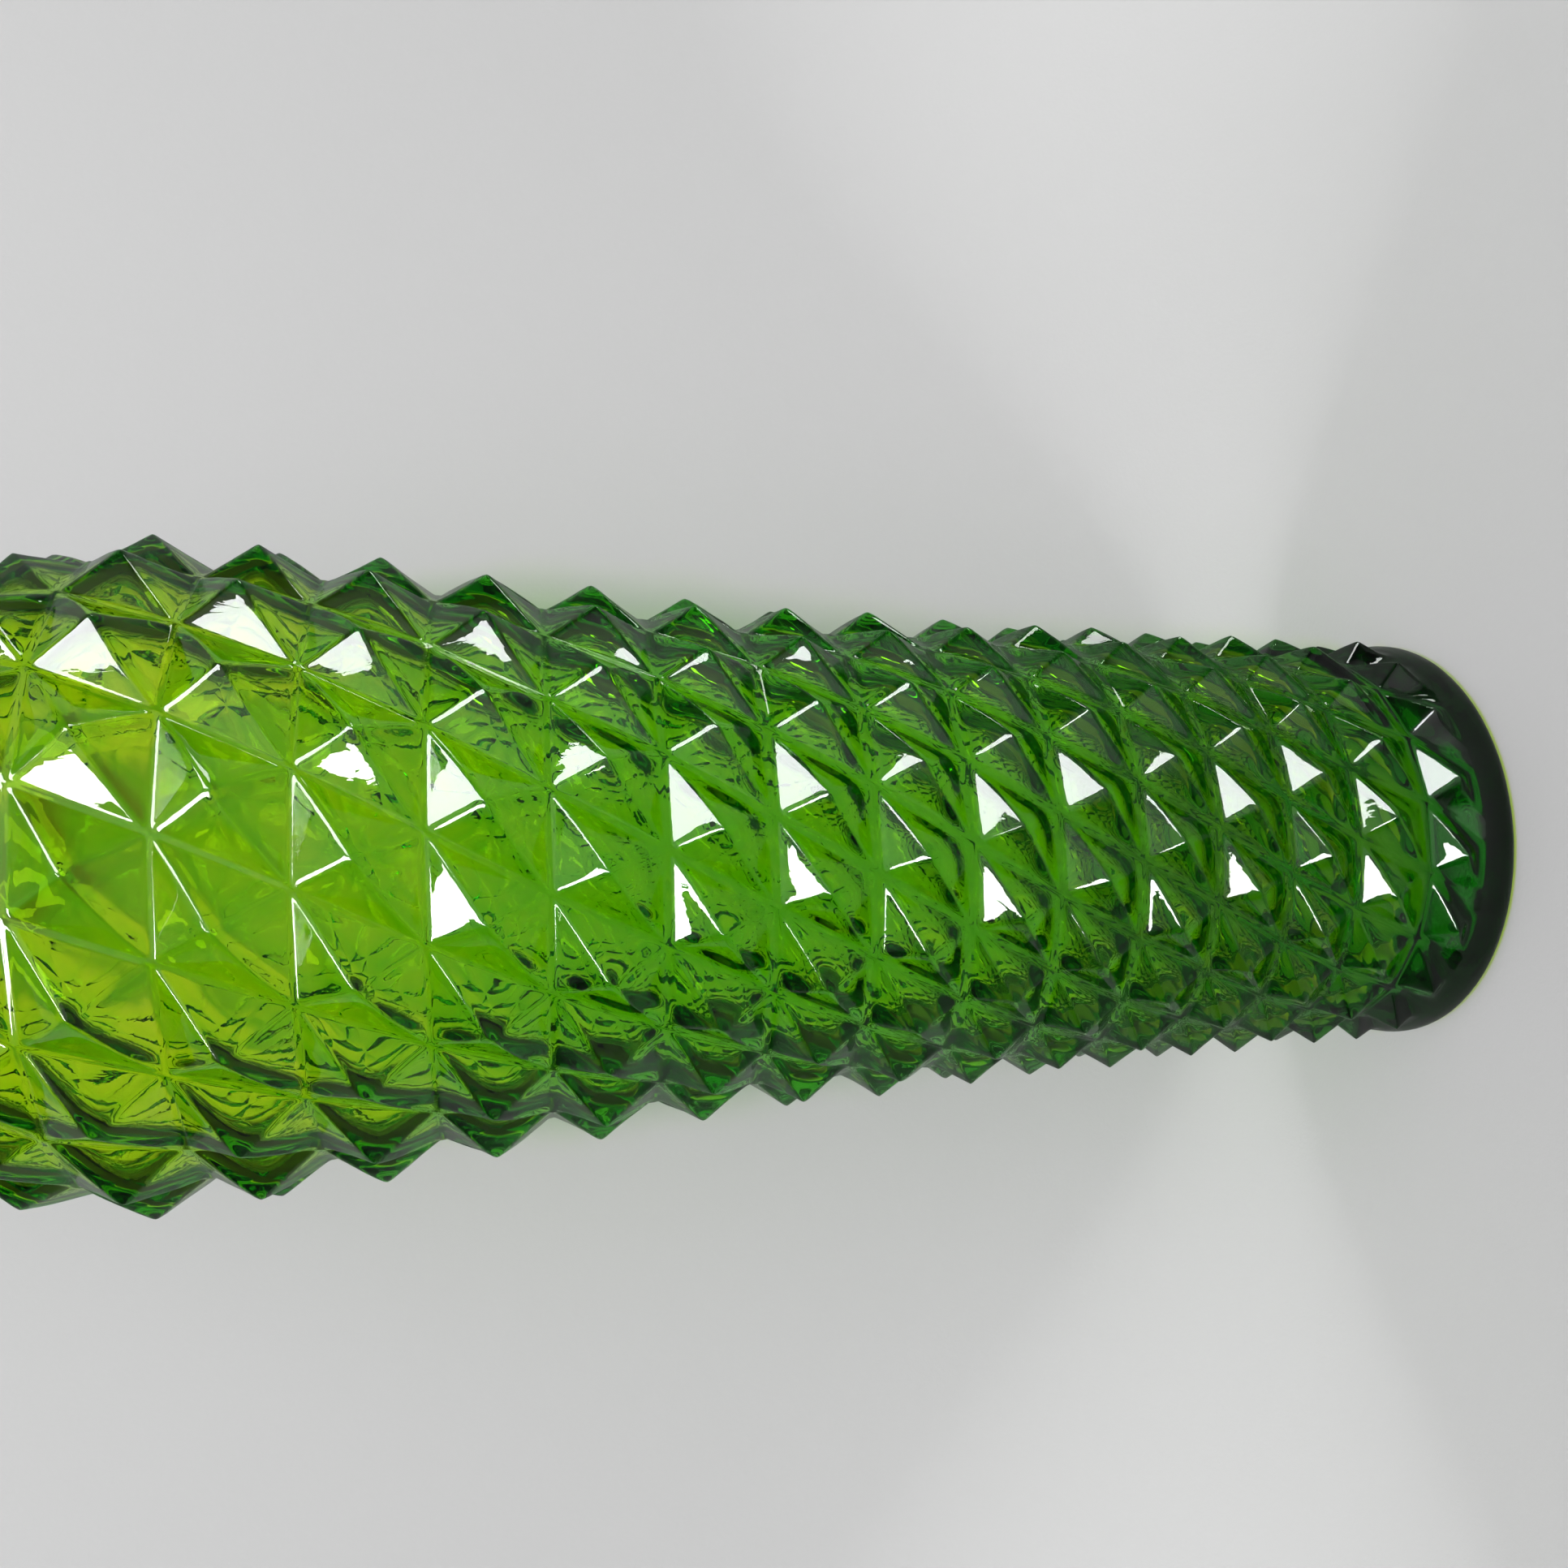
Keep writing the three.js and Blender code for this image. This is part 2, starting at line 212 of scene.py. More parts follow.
def profile_radius(table, z):
    t = sorted(table)
    return np.interp(z, [a for a, _ in t], [b for _, b in t])


def smooth_table(table, per=4):
    """Catmull-Rom through a table of (height, radius)."""
    p = np.array(table, float)
    q = np.vstack([2 * p[0] - p[1], p, 2 * p[-1] - p[-2]])
    out = []
    for i in range(len(p) - 1):
        a, b, c, d = q[i], q[i + 1], q[i + 2], q[i + 3]
        for s in range(per):
            t = s / per
            out.append(0.5 * ((2 * b) + (-a + c) * t + (2 * a - 5 * b + 4 * c - d) * t * t + (-a + 3 * b - 3 * c + d) * t ** 3))
    out.append(p[-1])
    return [(float(z), max(float(r), 0.01)) for z, r in out]


LEVELS = [0.0, 0.03, 0.06, 0.1, 0.15, 0.22, 0.34, 0.5, 0.66, 0.77, 0.84, 0.885, 0.92, 0.95, 0.975, 1.0]
SIDE = [-1.0, -0.98, -0.955, -0.925, -0.89, -0.84, -0.72, -0.4, 0.0, 0.4, 0.72, 0.84, 0.89, 0.925, 0.955, 0.98, 1.0]


def node(table, count, i, j):
    z, r, turn = table[i]
    a = math.radians(turn + 360.0 * j / count)
    return np.array([r * math.cos(a), r * math.sin(a), z])


def lattice(soup, count, valleys, tips, band, ridge, levels=LEVELS, side=SIDE, after=None, wobble=None):
    """Rows of four-sided points with rounded ridges and flat-bottomed valleys.
    band(z) is the height of the valley floor over the sharp valley line, and ridge the rounding, both in millimetres."""
    ns = len(side) - 1
    ring_st = []
    for m in levels[1:]:
        st = []
        for q in range(4):
            for x in side[:-1]:
                st.append({0: (x * m, -m), 1: (m, x * m), 2: (-x * m, m), 3: (-m, -x * m)}[q])
        ring_st.append(st)
    st_all = np.array([(0.0, 0.0)] + [p for st in ring_st for p in st])
    n_ring = 4 * ns
    faces = []
    for q in range(n_ring):
        faces.append([0, 1 + q, 1 + (q + 1) % n_ring])
    for l in range(len(levels) - 2):
        for q in range(n_ring):
            a, b = 1 + l * n_ring + q, 1 + l * n_ring + (q + 1) % n_ring
            faces.append([a, a + n_ring, b + n_ring, b])
    s, t = st_all[:, 0], st_all[:, 1]
    u, v = (s + 1) / 2, (t + 1) / 2
    g = 1 - np.maximum(np.abs(s), np.abs(t))
    for i in range(len(tips)):
        for j in range(count):
            a, b = node(valleys, count, i, j), node(valleys, count, i, j + 1)
            c, d = node(valleys, count, i + 1, j), node(valleys, count, i + 1, j + 1)
            turn = math.radians((valleys[i][2] + valleys[i + 1][2]) / 2 + 180.0 / count + 360.0 * j / count)
            tz, tr = tips[i]
            tip = np.array([tr * math.cos(turn), tr * math.sin(turn), tz])
            base = (np.outer((1 - u) * (1 - v), a) + np.outer(u * (1 - v), b)
                    + np.outer((1 - u) * v, c) + np.outer(u * v, d))
            centre = (a + b + c + d) / 4
            rad = base * np.array([1, 1, 0])
            rad /= np.linalg.norm(rad, axis=1)[:, None]
            rc = centre * np.array([1, 1, 0])
            rc /= np.linalg.norm(rc)
            high = float(np.dot(tip - centre, rc))
            half = (np.linalg.norm(b - a) + np.linalg.norm(c - a)) / 4
            k = min(0.3, 1.5 * ridge / half)
            m = smax(np.abs(s), np.abs(t), k)
            e = min(0.12, 0.5 * ridge / half)
            m = np.sqrt(m * m + e * e)
            bz = band(base[:, 2])
            h = smax(high * (1 - m), bz, 0.8 * bz)
            p = base + rad * h[:, None] + np.outer(g, tip - centre - high * rc)
            if after is not None and i == 0:
                p = after(p)
            soup.add(p, faces)


def edge_ring(count, valleys, i, band, side, high):
    """The points of a valley ring as the lattice leaves them, in order round the axis."""
    out = []
    for j in range(count):
        a, b = node(valleys, count, i, j), node(valleys, count, i, j + 1)
        xs = side[:-1]
        for x in xs:
            u = (x + 1) / 2
            p = a * (1 - u) + b * u
            r = p * np.array([1, 1, 0])
            r /= np.linalg.norm(r)
            out.append(p + r * band(np.array([p[2]]))[0])
    return np.array(out)


def band_body(z):
    t = np.clip((np.asarray(z, float) - 120.0) / 90.0, 0, 1)
    t = t * t * (3 - 2 * t)
    size = np.clip((345.0 - np.asarray(z, float)) / 60.0, 0.45, 1.0)
    return (0.78 * (1 - t) + 0.34 * t) * size


def ring_at(angles, z, r):
    return np.stack([r * np.cos(angles), r * np.sin(angles), np.full(len(angles), z)], 1)


def dimpled_rings(count, per, start, valleys, tips, wall, follow, dome, low, steps):
    """Rings of the inner wall from the top down to the height low. The glass was blown against the mould, so behind each
    point the wall has a soft dimple, follow(z) times as high as the point. Where dome(z) is 1 it is a round one that ends
    short of the valleys, and where it is 0 it has the point's own shape. start is the angle of the first vertex."""
    zs = np.array([v[0] for v in valleys])
    turns = np.radians([v[2] for v in valleys])
    u = np.arange(count * per) / per
    rings = []
    for i in range(len(tips) - 1, -1, -1):
        z0, z1 = zs[i], zs[i + 1]
        rise = tips[i][1] - (valleys[i][1] + valleys[i + 1][1]) / 2
        for k in range(steps):
            v = 1 - k / steps
            z = z0 + (z1 - z0) * v
            if z < low:
                return rings
            turn = turns[i] + (turns[i + 1] - turns[i]) * v
            s, t = 2 * (u % 1.0) - 1, 2 * v - 1
            m = smax(np.abs(s), np.full(len(s), abs(t)), 0.5)
            x = np.clip(1.06 - np.sqrt(m * m + 0.09), 0, 1)
            q = np.clip((0.92 - m) / 0.60, 0, 1)
            part = dome(z)
            f = (1 - part) * 1.18 * x * x / (x + 0.18) + part * q * q * (3 - 2 * q)
            r = profile_radius(wall, z) + follow(z) * rise * f
            a = start + (turn - turns[-1]) + 2 * math.pi * u / count
            rings.append(np.stack([r * np.cos(a), r * np.sin(a), np.full(len(a), z)], 1))
    return rings


# ---------------------------------------------------------------- the bottle
def build_bottle():
    soup = Soup()
    heel = smooth_table(HEEL_EDGE, 4)

    def to_heel(p):
        r = np.hypot(p[:, 0], p[:, 1])
        want = smax(r, profile_radius(heel, p[:, 2]), 0.7)
        return p * np.stack([want / r, want / r, np.ones(len(r))], 1)

    lattice(soup, POINTS, VALLEYS, TIPS, band_body, 0.80, after=to_heel)
    low = to_heel(edge_ring(POINTS, VALLEYS, 0, band_body, SIDE, False))
    top = edge_ring(POINTS, VALLEYS, len(VALLEYS) - 1, band_body, SIDE, True)
    # heel and base, from the push-up out to the first row
    angles = np.arctan2(low[:, 1], low[:, 0])
    under = [ring_at(angles, z, r) for z, r in reversed(smooth_table([(0.0, 38.4)] + BASE_UNDER, 3))]
    out = [ring_at(angles, z, r) for z, r in reversed([q for q in heel if q[0] < VALLEYS[0][0] - 0.3])]
    rings = under + out[1:] + [low]
    soup.rings(rings)
    soup.cap(rings[0], (0, 0, 3.2), False)
    # neck, lip and the inner wall
    angles = np.arctan2(top[:, 1], top[:, 0])
    neck = [top] + [ring_at(angles, z, r) for z, r in smooth_table(NECK_OUT, 3)]
    inner = smooth_table(INSIDE, 4)
    thin = np.linspace(0, 2 * math.pi, len(angles), endpoint=False) + angles[0]

    def follow(z):
        return float(np.interp(z, [16, 26, 40, 150, 180, 205, 235, 290, 330, 355], [0.1, 0.4, 0.66, 0.66, 0.68, 0.80, 0.88, 0.88, 0.65, 0.2]))

    def dome(z):
        return float(np.interp(z, [175, 208], [1.0, 0.0]))

    inside = [ring_at(thin, z, r) for z, r in inner[1:] if z > VALLEYS[-1][0] + 0.5]
    inside += dimpled_rings(POINTS, len(SIDE) - 1, angles[0], VALLEYS, TIPS, inner, follow, dome, 18.0, 14)
    turned = np.arctan2(inside[-1][:, 1], inside[-1][:, 0])
    inside += [ring_at(turned, z, r) for z, r in inner if z < inside[-1][0][2] - 0.3]
    soup.rings(neck + inside[:1])
    soup.rings(inside, 1)
    soup.cap(inside[-1], (0, 0, FLOOR_TOP), True, 1)

    skin = waves(26, 5.0, 22.0, 5)
    wall = waves(30, 9.0, 30.0, 9)
    fine = waves(24, 2.6, 6.0, 11)

    def move(v, tag):
        r = np.hypot(v[:, 0], v[:, 1])
        within = tag == 1
        rad = v * np.array([1, 1, 0]) / np.maximum(r, 1e-6)[:, None]
        fade = np.clip((v[:, 2] - 4.0) / 14.0, 0, 1) * np.clip((368.0 - v[:, 2]) / 30.0, 0, 1)
        outside = (tag == 0) & (v[:, 2] > 1.0) & (v[:, 2] < 404)
        d = np.zeros(len(v))
        d += np.where(outside, 0.06 * skin(v) + 0.014 * fine(v), 0.0) * np.clip(fade + 0.15, 0, 1)
        d += np.where(within, 0.07 * wall(v) + 0.015 * skin(v), 0.0) * fade
        top_room = 64.97 - r
        d = np.minimum(d, np.where(outside, top_room, 9.0))
        v = v + rad * d[:, None]
        v[:, 2] = np.maximum(v[:, 2], 0.0)
        return v

    ob = soup.make("glass_wall", move)
    return ob


# ---------------------------------------------------------------- the stopper
def build_stopper():
    soup = Soup()
    band = lambda z: np.full(np.shape(z), 0.24)
    levels = [0.0, 0.07, 0.18, 0.36, 0.56, 0.72, 0.82, 0.89, 0.945, 1.0]
    side = [-1.0, -0.94, -0.84, -0.5, 0.0, 0.5, 0.84, 0.94, 1.0]
    lattice(soup, HEAD_POINTS, HEAD_VALLEYS, HEAD_TIPS, band, 0.38, levels, side)
    low = edge_ring(HEAD_POINTS, HEAD_VALLEYS, 0, band, side, False)
    top = edge_ring(HEAD_POINTS, HEAD_VALLEYS, len(HEAD_VALLEYS) - 1, band, side, True)
    angles = np.arctan2(low[:, 1], low[:, 0])
    shank = [(372.0, 7.4), (371.3, 7.7), (371.0, 8.4), (371.0, 10.2), (371.25, 10.8), (371.9, 11.12), (380.0, 11.29), (390.0, 11.5),
             (400.0, 11.7), (408.0, 11.88), (408.8, 12.2), (409.15, 13.2), (409.2, 14.6), (409.2, 17.6), (409.3, 18.9), (409.8, 19.9),
             (410.8, 20.42), (411.8, 20.42), (412.8, 19.9), (413.5, 18.9), (414.2, 17.2), (415.4, 15.0), (417.0, 13.6), (419.0, 13.1),
             (421.0, 13.6), (422.6, 14.6)]
    body = [ring_at(angles, z, r) for z, r in smooth_table(shank, 2)]
    soup.rings(body + [low])
    hollow = [(372.0, 7.4), (380.0, 7.5), (395.0, 7.6), (408.0, 7.8), (416.0, 8.8), (424.0, 11.6), (434.0, 17.4), (447.0, 21.2),
              (461.0, 22.2), (475.0, 20.2), (488.4, 16.8), (500.8, 12.8), (512.2, 9.0), (520.0, 6.2), (524.0, 4.4), (526.8, 2.6), (527.8, 1.2)]
    inner = smooth_table(hollow, 3)
    rings = [ring_at(angles, z, r) for z, r in inner]
    soup.rings(rings[::-1])
    soup.cap(rings[-1], (0, 0, 528.0), False)
    angles = np.arctan2(top[:, 1], top[:, 0])
    finial = [(533.9, 8.1), (537.0, 7.3), (541.0, 6.5), (546.0, 5.6), (552.0, 4.75), (558.0, 4.0), (564.0, 3.45), (570.0, 3.1), (575.0, 2.85),
              (578.4, 2.55), (580.4, 1.95), (581.5, 1.15), (581.9, 0.5)]
    tail = [ring_at(angles, z, r) for z, r in smooth_table(finial, 3)]
    soup.rings([top] + tail)
    soup.cap(tail[-1], (0, 0, 581.98), True)
    skin = waves(22, 5.0, 18.0, 23)
    wall = waves(22, 8.0, 22.0, 29)

    def move(v, tag):
        r = np.hypot(v[:, 0], v[:, 1])
        ri = profile_radius(inner, v[:, 2])
        within = (v[:, 2] < 528.1) & (r < ri + 0.4)
        rad = v * np.array([1, 1, 0]) / np.maximum(r, 1e-6)[:, None]
        fade = np.clip((v[:, 2] - 416.0) / 12.0, 0, 1) * np.clip(r / 3.0, 0, 1)
        d = np.where(within, 0.22 * wall(v), 0.06 * skin(v)) * fade
        return v + rad * d[:, None]
    return soup.make("glass_stopper", move)


# ---------------------------------------------------------------- the sleeve
def build_sleeve():
    soup = Soup()
    angles = np.linspace(0, 2 * math.pi, 144, endpoint=False)
    inner = lambda z: 11.1 + 0.8 * (z - 371.0) / 37.0 + 0.3
    seat = lambda z: 13.8 + 1.2 * (z - 372.0) / 31.0 - 0.3
    out = [(375.0, inner(375.0) + 0.55), (375.15, inner(375.1) + 0.8), (375.5, inner(375.5) + 0.9)]
    span = (401.0 - 378.0) / 4
    for i in range(4):
        z = 378.0 + span * (i + 0.5)
        for x in np.linspace(-2.0, 2.0, 17):
            w = math.cos(math.pi * x / 4.0) ** 2
            thin = inner(z + x) + 0.9
            out.append((z + x, thin + (seat(z - 0.5) - 0.02 - thin) * w))
    out += [(405.9, inner(405.9) + 0.9), (406.25, inner(406.25) + 0.8), (406.4, inner(406.4) + 0.55)]
    ins = [(406.4, inner(406.4) + 0.3), (406.2, inner(406.2) + 0.06), (405.8, inner(405.8) + 0.02)]
    ins += [(z, inner(z) + 0.02) for z in np.linspace(402, 380, 9)]
    ins += [(375.6, inner(375.6) + 0.02), (375.2, inner(375.2) + 0.08), (375.0, inner(375.0) + 0.3)]
    rings = [ring_at(angles, z, r) for z, r in out + ins]
    soup.rings(rings + [rings[0]])
    return soup.make("ribbed_sleeve")


bottle = build_bottle()
stopper = build_stopper()
sleeve = build_sleeve()


# ---------------------------------------------------------------- materials
def nodes_of(name):
    mat = bpy.data.materials.new(name)
    mat.use_nodes = True
    nt = mat.node_tree
    nt.nodes.clear()
    out = nt.nodes.new("ShaderNodeOutputMaterial")
    return mat, nt, out


def glass(name, density):
    mat, nt, out = nodes_of(name)
    bsdf = nt.nodes.new("ShaderNodeBsdfPrincipled")
    bsdf.inputs["Base Color"].default_value = (1, 1, 1, 1)
    bsdf.inputs["Transmission Weight"].default_value = 1.0
    bsdf.inputs["IOR"].default_value = 1.51
    bsdf.inputs["Roughness"].default_value = 0.0
    coord = nt.nodes.new("ShaderNodeTexCoord")
    # chill marks: fine ripples left by the mould, drawn out along the bottle
    stretch = nt.nodes.new("ShaderNodeMapping")
    stretch.inputs["Scale"].default_value = (1.0, 1.0, 0.28)
    nt.links.new(coord.outputs["Object"], stretch.inputs["Vector"])
    ripple = nt.nodes.new("ShaderNodeTexNoise")
    ripple.inputs["Scale"].default_value = 620.0
    ripple.inputs["Detail"].default_value = 2.0
    ripple.inputs["Roughness"].default_value = 0.45
    ripple.inputs["Distortion"].default_value = 0.6
    nt.links.new(stretch.outputs["Vector"], ripple.inputs["Vector"])
    patch = nt.nodes.new("ShaderNodeTexNoise")
    patch.inputs["Scale"].default_value = 75.0
    patch.inputs["Detail"].default_value = 1.0
    nt.links.new(coord.outputs["Object"], patch.inputs["Vector"])
    ramp = nt.nodes.new("ShaderNodeMapRange")
    ramp.inputs["From Min"].default_value = 0.42
    ramp.inputs["From Max"].default_value = 0.64
    ramp.inputs["To Min"].default_value = 0.05
    ramp.inputs["To Max"].default_value = 1.0
    nt.links.new(patch.outputs["Fac"], ramp.inputs["Value"])
    amount = nt.nodes.new("ShaderNodeMath")
    amount.operation = "MULTIPLY"
    nt.links.new(ripple.outputs["Fac"], amount.inputs[0])
    nt.links.new(ramp.outputs["Result"], amount.inputs[1])
    bump = nt.nodes.new("ShaderNodeBump")
    bump.inputs["Strength"].default_value = 0.25
    bump.inputs["Distance"].default_value = 0.00012
    nt.links.new(amount.outputs["Value"], bump.inputs["Height"])
    nt.links.new(bump.outputs["Normal"], bsdf.inputs["Normal"])
    vol = nt.nodes.new("ShaderNodeVolumeAbsorption")
    vol.inputs["Color"].default_value = (0.887, 0.9753, 0.0, 1)
    vol.inputs["Density"].default_value = density
    # lamps shine through on to what is behind the glass
    path = nt.nodes.new("ShaderNodeLightPath")
    clear = nt.nodes.new("ShaderNodeBsdfTransparent")
    clear.inputs["Color"].default_value = (0.985, 0.985, 0.985, 1)
    mix = nt.nodes.new("ShaderNodeMixShader")
    nt.links.new(path.outputs["Is Shadow Ray"], mix.inputs["Fac"])
    nt.links.new(bsdf.outputs["BSDF"], mix.inputs[1])
    nt.links.new(clear.outputs["BSDF"], mix.inputs[2])
    nt.links.new(mix.outputs["Shader"], out.inputs["Surface"])
    nt.links.new(vol.outputs["Volume"], out.inputs["Volume"])
    return mat


GLASS = glass("green_glass", 1500.0)
GLASS_TOP = glass("green_glass_stopper", 1500.0)

SLEEVE, nt, out = nodes_of("milky_sleeve")
bs = nt.nodes.new("ShaderNodeBsdfPrincipled")
bs.inputs["Roughness"].default_value = 0.42
bs.inputs["Subsurface Weight"].default_value = 0.35
bs.inputs["Subsurface Radius"].default_value = (0.6, 0.6, 0.55)
bs.inputs["Subsurface Scale"].default_value = 0.002
co = nt.nodes.new("ShaderNodeTexCoord")
ns = nt.nodes.new("ShaderNodeTexNoise")
ns.inputs["Scale"].default_value = 160.0
ns.inputs["Detail"].default_value = 3.0
nt.links.new(co.outputs["Object"], ns.inputs["Vector"])
cr = nt.nodes.new("ShaderNodeValToRGB")
cr.color_ramp.elements[0].color = (0.58, 0.58, 0.52, 1)
cr.color_ramp.elements[1].color = (0.74, 0.74, 0.69, 1)
nt.links.new(ns.outputs["Fac"], cr.inputs["Fac"])
nt.links.new(cr.outputs["Color"], bs.inputs["Base Color"])
nt.links.new(bs.outputs["BSDF"], out.inputs["Surface"])

for ob, mat, body, cad, slot in (
        (bottle, GLASS, "bottle", ("bottle_body", "bottle_shoulder", "bottle_neck"), "bottle_glass"),
        (stopper, GLASS_TOP, "stopper", ("stopper",), "stopper_glass"),
        (sleeve, SLEEVE, "sleeve", ("stopper_sleeve",), "sleeve")):
    ob.data.materials.clear()
    ob.data.materials.append(mat)
    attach(ob, body)
    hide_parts(*cad)


# ---------------------------------------------------------------- stage
def paper_material(name, low, high, fade):
    """Matt paper with painted shade and painted light in what the glass mirrors and shows through it. fade(nt,
    position) gives a factor for its painted darkening far off, or None.
    """
    mat, nt, out = nodes_of(name)
    b = nt.nodes.new("ShaderNodeBsdfPrincipled")
    b.inputs["Roughness"].default_value = 0.9
    c = nt.nodes.new("ShaderNodeTexCoord")
    n1 = nt.nodes.new("ShaderNodeTexNoise")
    n1.inputs["Scale"].default_value = 3.0
    n1.inputs["Detail"].default_value = 4.0
    nt.links.new(c.outputs["Object"], n1.inputs["Vector"])
    r1 = nt.nodes.new("ShaderNodeValToRGB")
    r1.color_ramp.elements[0].color = (*low, 1)
    r1.color_ramp.elements[1].color = (*high, 1)
    nt.links.new(n1.outputs["Fac"], r1.inputs["Fac"])
    painted_far_shade = nt.nodes.new("ShaderNodeMix")
    painted_far_shade.data_type = "RGBA"
    painted_far_shade.blend_type = "MIX"
    nt.links.new(r1.outputs["Color"], painted_far_shade.inputs["A"])
    painted_far_shade.inputs["B"].default_value = (0.045, 0.047, 0.05, 1)
    # painted shade: far off the paper is painted darker, standing in for the dim room, in all but what the camera sees
    # of it
    path = nt.nodes.new("ShaderNodeLightPath")
    seen = nt.nodes.new("ShaderNodeMapRange")
    seen.inputs["To Min"].default_value = 1.0
    seen.inputs["To Max"].default_value = 0.0
    nt.links.new(path.outputs["Is Camera Ray"], seen.inputs["Value"])
    gone = nt.nodes.new("ShaderNodeMath")
    gone.operation = "MULTIPLY"
    nt.links.new(fade(nt, c.outputs["Object"]), gone.inputs[0])
    nt.links.new(seen.outputs["Result"], gone.inputs[1])
    nt.links.new(gone.outputs["Value"], painted_far_shade.inputs["Factor"])
    # painted shade: the floor is painted darker in what the glass mirrors and shows behind it, and the sheet in what
    # the glass mirrors
    split = nt.nodes.new("ShaderNodeSeparateXYZ")
    nt.links.new(c.outputs["Object"], split.inputs[0])
    high = nt.nodes.new("ShaderNodeMapRange")
    nt.links.new(path.outputs["Is Reflection Ray"], high.inputs["Value"])
    high.inputs["To Max"].default_value = DIM_SHEET
    # the bottle's own soft shadows lie on the sheet on either side of it
    sides = []
    for sign, most in ((1.0, SHADE_RIGHT), (-1.0, SHADE_LEFT)):
        side = nt.nodes.new("ShaderNodeMapRange")
        side.interpolation_type = "SMOOTHSTEP"
        side.inputs["From Min"].default_value = sign * 0.045
        side.inputs["From Max"].default_value = sign * 0.085
        side.inputs["To Max"].default_value = most
        nt.links.new(split.outputs["X"], side.inputs["Value"])
        sides.append(side)
    either = nt.nodes.new("ShaderNodeMath")
    either.operation = "MAXIMUM"
    nt.links.new(sides[0].outputs["Result"], either.inputs[0])
    nt.links.new(sides[1].outputs["Result"], either.inputs[1])
    # and past them, in what the glass shows through it, the sheet is painted nearly black, painted shade for the unlit
    # room, which draws the black outlines of the points at both edges of the bottle
    wide = nt.nodes.new("ShaderNodeMath")
    wide.operation = "ABSOLUTE"
    nt.links.new(split.outputs["X"], wide.inputs[0])
    past = nt.nodes.new("ShaderNodeMapRange")
    past.interpolation_type = "SMOOTHSTEP"
    past.inputs["From Min"].default_value = PAST[0]
    past.inputs["From Max"].default_value = PAST[1]
    past.inputs["To Max"].default_value = PAST[2]
    nt.links.new(wide.outputs["Value"], past.inputs["Value"])
    whole = nt.nodes.new("ShaderNodeMath")
    whole.operation = "MAXIMUM"
    nt.links.new(either.outputs["Value"], whole.inputs[0])
    nt.links.new(past.outputs["Result"], whole.inputs[1])
    nt.links.new(whole.outputs["Value"], high.inputs["To Min"])
    low = nt.nodes.new("ShaderNodeMapRange")
    low.interpolation_type = "SMOOTHSTEP"
    low.inputs["From Min"].default_value = 0.003
    low.inputs["From Max"].default_value = 0.085
    low.inputs["To Min"].default_value = DIM_FLOOR
    nt.links.new(high.outputs["Result"], low.inputs["To Max"])
    nt.links.new(split.outputs["Z"], low.inputs["Value"])
    sharp = nt.nodes.new("ShaderNodeMath")
    sharp.operation = "MULTIPLY"
    nt.links.new(low.outputs["Result"], sharp.inputs[0])
    nt.links.new(path.outputs["Is Singular Ray"], sharp.inputs[1])
    shade = nt.nodes.new("ShaderNodeMix")
    shade.data_type = "RGBA"
    nt.links.new(sharp.outputs["Value"], shade.inputs["Factor"])
    nt.links.new(painted_far_shade.outputs["Result"], shade.inputs["A"])
    shade.inputs["B"].default_value = (0.01, 0.01, 0.01, 1)
    nt.links.new(shade.outputs["Result"], b.inputs["Base Color"])
    # seen through the glass, the paper right under the base and right behind the bottle is lit a little more, as by the
    # light that the glass gathers on it
    d = nt.nodes.new("ShaderNodeVectorMath")
    d.operation = "LENGTH"
    nt.links.new(c.outputs["Object"], d.inputs[0])
    near = nt.nodes.new("ShaderNodeMapRange")
    near.interpolation_type = "SMOOTHSTEP"
    near.inputs["From Min"].default_value = 0.046
    near.inputs["From Max"].default_value = 0.085
    near.inputs["To Min"].default_value = UNDER_BASE
    near.inputs["To Max"].default_value = 0.0
    nt.links.new(d.outputs["Value"], near.inputs["Value"])
    lift = nt.nodes.new("ShaderNodeMapRange")
    lift.inputs["From Min"].default_value = 0.01
    lift.inputs["From Max"].default_value = 0.085
    lift.inputs["To Max"].default_value = BEHIND
    nt.links.new(split.outputs["Z"], lift.inputs["Value"])
    both = nt.nodes.new("ShaderNodeMath")
    both.operation = "MAXIMUM"
    nt.links.new(near.outputs["Result"], both.inputs[0])
    nt.links.new(lift.outputs["Result"], both.inputs[1])
    through = nt.nodes.new("ShaderNodeMath")
    through.operation = "MULTIPLY"
    nt.links.new(both.outputs["Value"], through.inputs[0])
    nt.links.new(path.outputs["Is Transmission Ray"], through.inputs[1])
    within = nt.nodes.new("ShaderNodeMath")
    within.operation = "SUBTRACT"
    within.inputs[0].default_value = 1.0
    nt.links.new(past.outputs["Result"], within.inputs[1])
    only = nt.nodes.new("ShaderNodeMath")
    only.operation = "MULTIPLY"
    nt.links.new(through.outputs["Value"], only.inputs[0])
    nt.links.new(within.outputs["Value"], only.inputs[1])
    b.inputs["Emission Color"].default_value = (1, 1, 1, 1)
    nt.links.new(only.outputs["Value"], b.inputs["Emission Strength"])
    grain = nt.nodes.new("ShaderNodeTexNoise")
    grain.inputs["Scale"].default_value = 900.0
    grain.inputs["Detail"].default_value = 3.0
    nt.links.new(c.outputs["Object"], grain.inputs["Vector"])
    bump = nt.nodes.new("ShaderNodeBump")
    bump.inputs["Strength"].default_value = 0.25
    bump.inputs["Distance"].default_value = 0.0002
    nt.links.new(grain.outputs["Fac"], bump.inputs["Height"])
    nt.links.new(bump.outputs["Normal"], b.inputs["Normal"])
    return mat, nt, out, b


